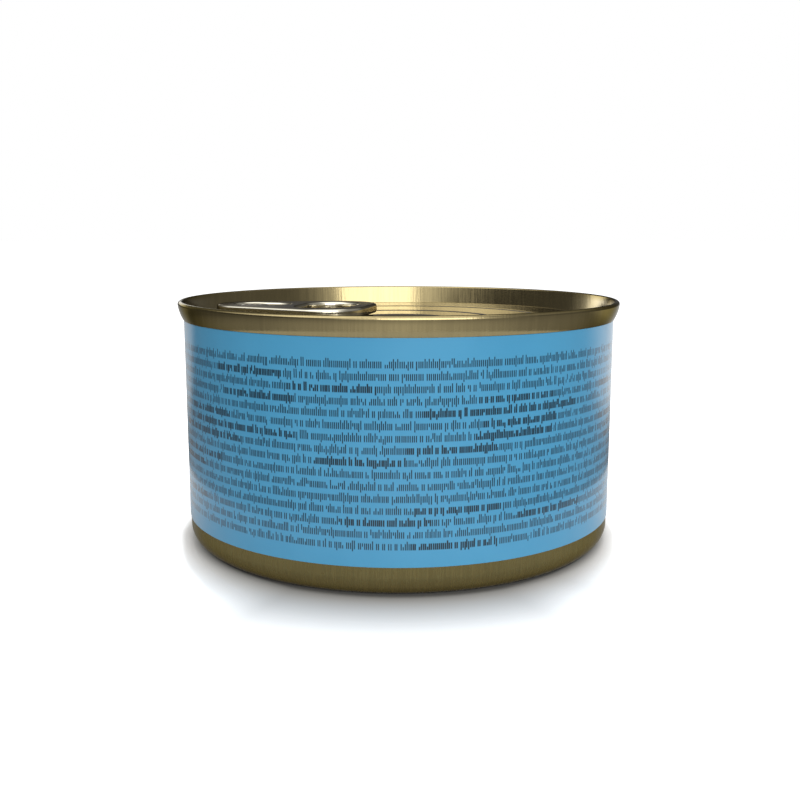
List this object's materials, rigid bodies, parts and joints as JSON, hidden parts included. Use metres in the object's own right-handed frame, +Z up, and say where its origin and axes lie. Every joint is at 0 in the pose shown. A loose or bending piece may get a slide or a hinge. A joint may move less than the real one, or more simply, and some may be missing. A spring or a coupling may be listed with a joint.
{
  "type": "can of cat food",
  "caption": "Shallow round drawn can with a plain wraparound label, a stepped easy-open lid in a double seam and a ring-pull tab.",
  "frame": {"origin": "on the can's axis at the level of its standing ring", "axes": "+Z up along the can's axis, +X to the right and -Y towards the viewer, with the tab's nose to the left"},
  "size_m": [0.0682, 0.0682, 0.0372],
  "materials": {
    "body_lacquer": "clear gold lacquer over drawn tinplate, satin",
    "label_paper": "gloss varnished blue paper with small dark print bars",
    "lid_lacquer": "clear gold lacquer over rolled tinplate, fine grain",
    "tab_metal": "polished tinplate"
  },
  "bodies": {
    "root": {"can_body": "body_lacquer", "label": "label_paper", "lid": "lid_lacquer", "pull_tab": "tab_metal"}
  },
  "joints": []
}
